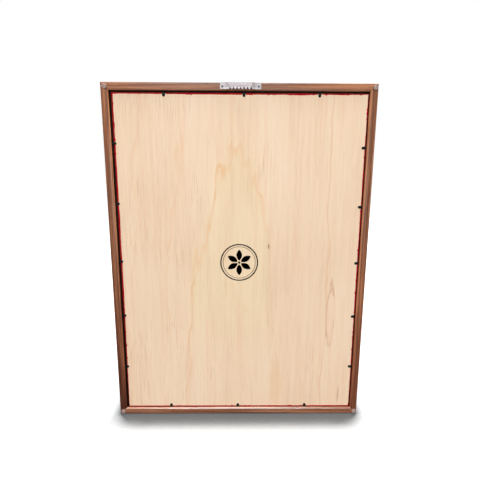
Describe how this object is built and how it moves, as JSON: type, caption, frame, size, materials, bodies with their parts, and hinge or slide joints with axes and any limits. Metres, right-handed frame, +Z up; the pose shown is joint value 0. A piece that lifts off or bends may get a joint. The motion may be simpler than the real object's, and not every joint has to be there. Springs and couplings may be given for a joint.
{
  "type": "folded flag display case",
  "caption": "Walnut shadow-box case for a folded flag, with a clear front, a plywood back held by flexible points, a sawtooth hanger and corner bumpers.",
  "frame": {"origin": "centre of the underside of the bottom rail, halfway between the front and back faces", "axes": "+Z up, +X to the right as seen from the clear front, -Y out of the clear front and +Y out of the plywood back"},
  "size_m": [0.4952, 0.0921, 0.654],
  "materials": {
    "walnut": "satin lacquered walnut, grain along each rail",
    "birch_plywood": "unfinished pale veneer plywood, vertical grain",
    "spline_birch": "plain birch strip, hidden in the mitre",
    "clear_acrylic": "clear polished acrylic sheet",
    "red_felt": "matted red felt with fuzzy edges",
    "zinc_plate": "zinc-plated stamped steel",
    "black_point_steel": "thin black spring steel",
    "clear_bumper": "soft translucent polyurethane dome"
  },
  "bodies": {
    "case": {"rail_bottom": "walnut", "rail_right": "walnut", "rail_top": "walnut", "rail_left": "walnut", "spline_bottom_right": "spline_birch", "spline_top_right": "spline_birch", "spline_top_left": "spline_birch", "spline_bottom_left": "spline_birch", "front_glazing": "clear_acrylic", "liner_bottom": "walnut", "liner_top": "walnut", "liner_left": "walnut", "liner_right": "walnut", "flag_shelf": "walnut", "flag_rail_right": "walnut", "flag_rail_left": "walnut", "backing_board": "birch_plywood", "backing_felt": "red_felt", "sawtooth_hanger": "zinc_plate", "hanger_nail_right": "zinc_plate", "hanger_nail_left": "zinc_plate", "bumper_bottom_left": "clear_bumper", "bumper_bottom_right": "clear_bumper", "bumper_top_left": "clear_bumper", "bumper_top_right": "clear_bumper", "point_bottom_1_shank": "black_point_steel", "point_bottom_2_shank": "black_point_steel", "point_bottom_3_shank": "black_point_steel", "point_right_1_shank": "black_point_steel", "point_right_2_shank": "black_point_steel", "point_right_3_shank": "black_point_steel", "point_right_4_shank": "black_point_steel", "point_right_5_shank": "black_point_steel", "point_top_1_shank": "black_point_steel", "point_top_2_shank": "black_point_steel", "point_top_3_shank": "black_point_steel", "point_left_1_shank": "black_point_steel", "point_left_2_shank": "black_point_steel", "point_left_3_shank": "black_point_steel", "point_left_4_shank": "black_point_steel", "point_left_5_shank": "black_point_steel"},
    "point_bottom_1": {"point_bottom_1_tab": "black_point_steel"},
    "point_bottom_2": {"point_bottom_2_tab": "black_point_steel"},
    "point_bottom_3": {"point_bottom_3_tab": "black_point_steel"},
    "point_right_1": {"point_right_1_tab": "black_point_steel"},
    "point_right_2": {"point_right_2_tab": "black_point_steel"},
    "point_right_3": {"point_right_3_tab": "black_point_steel"},
    "point_right_4": {"point_right_4_tab": "black_point_steel"},
    "point_right_5": {"point_right_5_tab": "black_point_steel"},
    "point_top_1": {"point_top_1_tab": "black_point_steel"},
    "point_top_2": {"point_top_2_tab": "black_point_steel"},
    "point_top_3": {"point_top_3_tab": "black_point_steel"},
    "point_left_1": {"point_left_1_tab": "black_point_steel"},
    "point_left_2": {"point_left_2_tab": "black_point_steel"},
    "point_left_3": {"point_left_3_tab": "black_point_steel"},
    "point_left_4": {"point_left_4_tab": "black_point_steel"},
    "point_left_5": {"point_left_5_tab": "black_point_steel"}
  },
  "joints": [
    {"name": "point_bottom_1_bend", "type": "hinge", "parent": "case", "child": "point_bottom_1", "pos_m": [-0.1382, 0.039, 0.01544], "axis": [-1, 0, 0], "range_deg": [0, 85]},
    {"name": "point_bottom_2_bend", "type": "hinge", "parent": "case", "child": "point_bottom_2", "pos_m": [0.0018, 0.039, 0.01544], "axis": [-0.9975, 0, 0.0707], "range_deg": [0, 85]},
    {"name": "point_bottom_3_bend", "type": "hinge", "parent": "case", "child": "point_bottom_3", "pos_m": [0.1418, 0.039, 0.01544], "axis": [-0.9946, 0, -0.1041], "range_deg": [0, 85]},
    {"name": "point_right_1_bend", "type": "hinge", "parent": "case", "child": "point_right_1", "pos_m": [0.23221, 0.039, 0.10462], "axis": [-0.083, 0, -0.9965], "range_deg": [0, 85]},
    {"name": "point_right_2_bend", "type": "hinge", "parent": "case", "child": "point_right_2", "pos_m": [0.23221, 0.039, 0.21582], "axis": [0.0183, 0, -0.9998], "range_deg": [0, 85]},
    {"name": "point_right_3_bend", "type": "hinge", "parent": "case", "child": "point_right_3", "pos_m": [0.23221, 0.039, 0.32703], "axis": [0.0562, 0, -0.9984], "range_deg": [0, 85]},
    {"name": "point_right_4_bend", "type": "hinge", "parent": "case", "child": "point_right_4", "pos_m": [0.23221, 0.039, 0.43822], "axis": [-0.101, 0, -0.9949], "range_deg": [0, 85]},
    {"name": "point_right_5_bend", "type": "hinge", "parent": "case", "child": "point_right_5", "pos_m": [0.23221, 0.039, 0.54943], "axis": [0.0928, 0, -0.9957], "range_deg": [0, 85]},
    {"name": "point_top_1_bend", "type": "hinge", "parent": "case", "child": "point_top_1", "pos_m": [0.1369, 0.039, 0.63861], "axis": [0.9994, 0, -0.0359], "range_deg": [0, 85]},
    {"name": "point_top_2_bend", "type": "hinge", "parent": "case", "child": "point_top_2", "pos_m": [-0.0073, 0.039, 0.63861], "axis": [0.9992, 0, -0.0399], "range_deg": [0, 85]},
    {"name": "point_top_3_bend", "type": "hinge", "parent": "case", "child": "point_top_3", "pos_m": [-0.1445, 0.039, 0.63861], "axis": [0.9955, 0, 0.0947], "range_deg": [0, 85]},
    {"name": "point_left_1_bend", "type": "hinge", "parent": "case", "child": "point_left_1", "pos_m": [-0.23221, 0.039, 0.54332], "axis": [0.0998, 0, 0.995], "range_deg": [0, 85]},
    {"name": "point_left_2_bend", "type": "hinge", "parent": "case", "child": "point_left_2", "pos_m": [-0.23221, 0.039, 0.43352], "axis": [-0.0525, 0, 0.9986], "range_deg": [0, 85]},
    {"name": "point_left_3_bend", "type": "hinge", "parent": "case", "child": "point_left_3", "pos_m": [-0.23221, 0.039, 0.32372], "axis": [-0.0224, 0, 0.9997], "range_deg": [0, 85]},
    {"name": "point_left_4_bend", "type": "hinge", "parent": "case", "child": "point_left_4", "pos_m": [-0.23221, 0.039, 0.21393], "axis": [0.0855, 0, 0.9963], "range_deg": [0, 85]},
    {"name": "point_left_5_bend", "type": "hinge", "parent": "case", "child": "point_left_5", "pos_m": [-0.23221, 0.039, 0.10412], "axis": [-0.1037, 0, 0.9946], "range_deg": [0, 85]}
  ]
}
